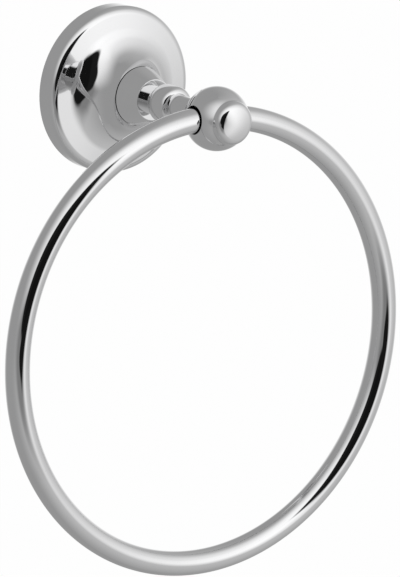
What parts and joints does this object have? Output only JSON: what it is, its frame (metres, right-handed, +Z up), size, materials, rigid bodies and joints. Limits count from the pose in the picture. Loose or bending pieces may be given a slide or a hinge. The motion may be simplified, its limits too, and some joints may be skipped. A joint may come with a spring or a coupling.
{
  "type": "towel ring",
  "caption": "Wall-mounted towel ring: a loose ring of bent rod hangs in the bored ball of a turned post on a round coved rosette.",
  "frame": {"origin": "on the wall, at the centre of the back of the rosette and of the two wall screw holes", "axes": "+Z up, +Y into the wall, so that the post stands out along -Y; X along the wall"},
  "size_m": [0.1524, 0.0697, 0.1751],
  "materials": {
    "plated_casting": "polished chrome plate on a casting",
    "plated_turning": "polished chrome plate on a turned piece",
    "plated_rod": "polished chrome plate on bent rod",
    "bracket_steel": "zinc plated plate with a turned face",
    "fastener_steel": "plain steel fastener"
  },
  "bodies": {
    "wall_mount": {"rosette": "plated_casting", "post": "plated_turning", "wall_bracket": "bracket_steel", "set_screw": "fastener_steel", "post_screw": "fastener_steel", "lock_washer": "fastener_steel"},
    "hanging_ring": {"ring": "plated_rod"}
  },
  "joints": [
    {"name": "ring_swing", "type": "hinge", "parent": "wall_mount", "child": "hanging_ring", "pos_m": [0, -0.0586, 0], "axis": [-1, 0, 0], "range_deg": [-22, 202]}
  ]
}
